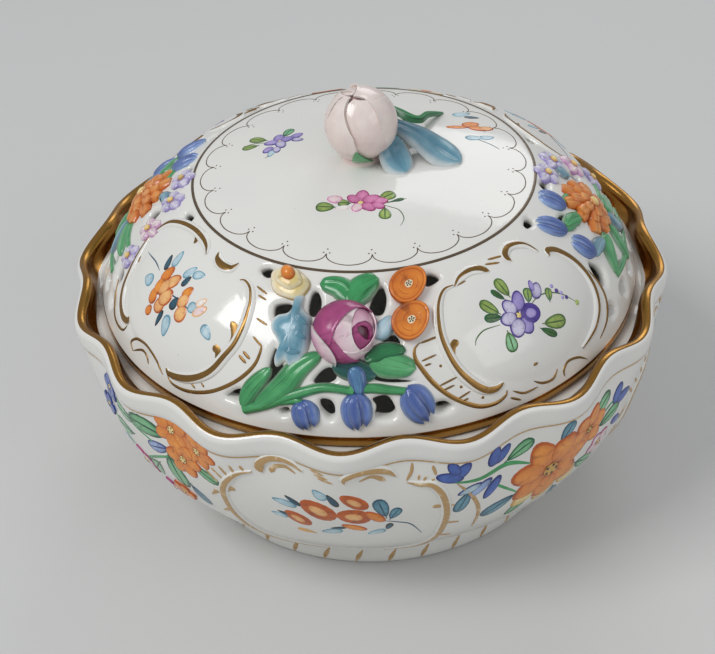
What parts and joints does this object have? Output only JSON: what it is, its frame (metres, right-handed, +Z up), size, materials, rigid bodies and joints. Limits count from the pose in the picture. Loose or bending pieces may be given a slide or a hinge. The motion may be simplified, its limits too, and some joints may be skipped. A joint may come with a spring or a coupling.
{
  "type": "potpourri vase",
  "caption": "Round covered porcelain bowl on a foot ring, with a lobed rim and a pierced lid of applied flowers and a rosebud finial, for holding scented dried petals.",
  "frame": {"origin": "middle of the foot ring's resting face, on the table", "axes": "+Z up along the axis of the bowl and the way the lid lifts; the front, with a rose panel of the lid, faces -Y; +X is to the right of someone looking at the front"},
  "size_m": [0.1744, 0.1744, 0.1231],
  "materials": {
    "porcelain": "glossy",
    "scroll_relief": "glossy",
    "rose_enamel": "glossy",
    "orange_enamel": "glossy",
    "yellow_enamel": "glossy",
    "blue_enamel": "glossy",
    "teal_enamel": "glossy",
    "lilac_enamel": "glossy",
    "green_enamel": "glossy",
    "pale_pink_glaze": "glossy"
  },
  "bodies": {
    "bowl": {"bowl_shell": "porcelain", "foot_ring": "porcelain", "bowl_frame_front": "scroll_relief", "bowl_frame_right": "scroll_relief", "bowl_frame_back": "scroll_relief", "bowl_frame_left": "scroll_relief"},
    "lid": {"lid_shell": "porcelain", "lid_collar": "porcelain", "lid_frame_front_right": "scroll_relief", "lid_frame_back_right": "scroll_relief", "lid_frame_back_left": "scroll_relief", "lid_frame_front_left": "scroll_relief", "rose_front": "rose_enamel", "cup_upper_front": "orange_enamel", "cup_lower_front": "orange_enamel", "small_bud_front": "yellow_enamel", "bellflower_front": "teal_enamel", "tulip_left_front": "blue_enamel", "tulip_middle_front": "blue_enamel", "tulip_right_front": "blue_enamel", "rose_back": "rose_enamel", "cup_upper_back": "orange_enamel", "cup_lower_back": "orange_enamel", "small_bud_back": "yellow_enamel", "bellflower_back": "teal_enamel", "tulip_left_back": "blue_enamel", "tulip_middle_back": "blue_enamel", "tulip_right_back": "blue_enamel", "ruffled_flower_right": "orange_enamel", "blue_bud_1_right": "blue_enamel", "blue_bud_2_right": "blue_enamel", "blue_bud_3_right": "blue_enamel", "posy_1_right": "lilac_enamel", "posy_2_right": "lilac_enamel", "posy_3_right": "lilac_enamel", "posy_4_right": "lilac_enamel", "ruffled_flower_left": "orange_enamel", "blue_bud_1_left": "blue_enamel", "blue_bud_2_left": "blue_enamel", "blue_bud_3_left": "blue_enamel", "posy_1_left": "lilac_enamel", "posy_2_left": "lilac_enamel", "posy_3_left": "lilac_enamel", "posy_4_left": "lilac_enamel", "foliage_front": "green_enamel", "foliage_right": "green_enamel", "foliage_back": "green_enamel", "foliage_left": "green_enamel", "finial_stub": "porcelain", "finial_core": "pale_pink_glaze", "finial_sepals": "green_enamel", "finial_leaf": "green_enamel", "finial_spray": "teal_enamel", "finial_petal_1": "pale_pink_glaze", "finial_petal_2": "pale_pink_glaze", "finial_petal_3": "pale_pink_glaze", "finial_petal_4": "pale_pink_glaze", "finial_petal_5": "pale_pink_glaze"}
  },
  "joints": [
    {"name": "lid_lift", "type": "slide", "parent": "bowl", "child": "lid", "axis": [0, 0, 1], "range_m": [0, 0.12]}
  ]
}
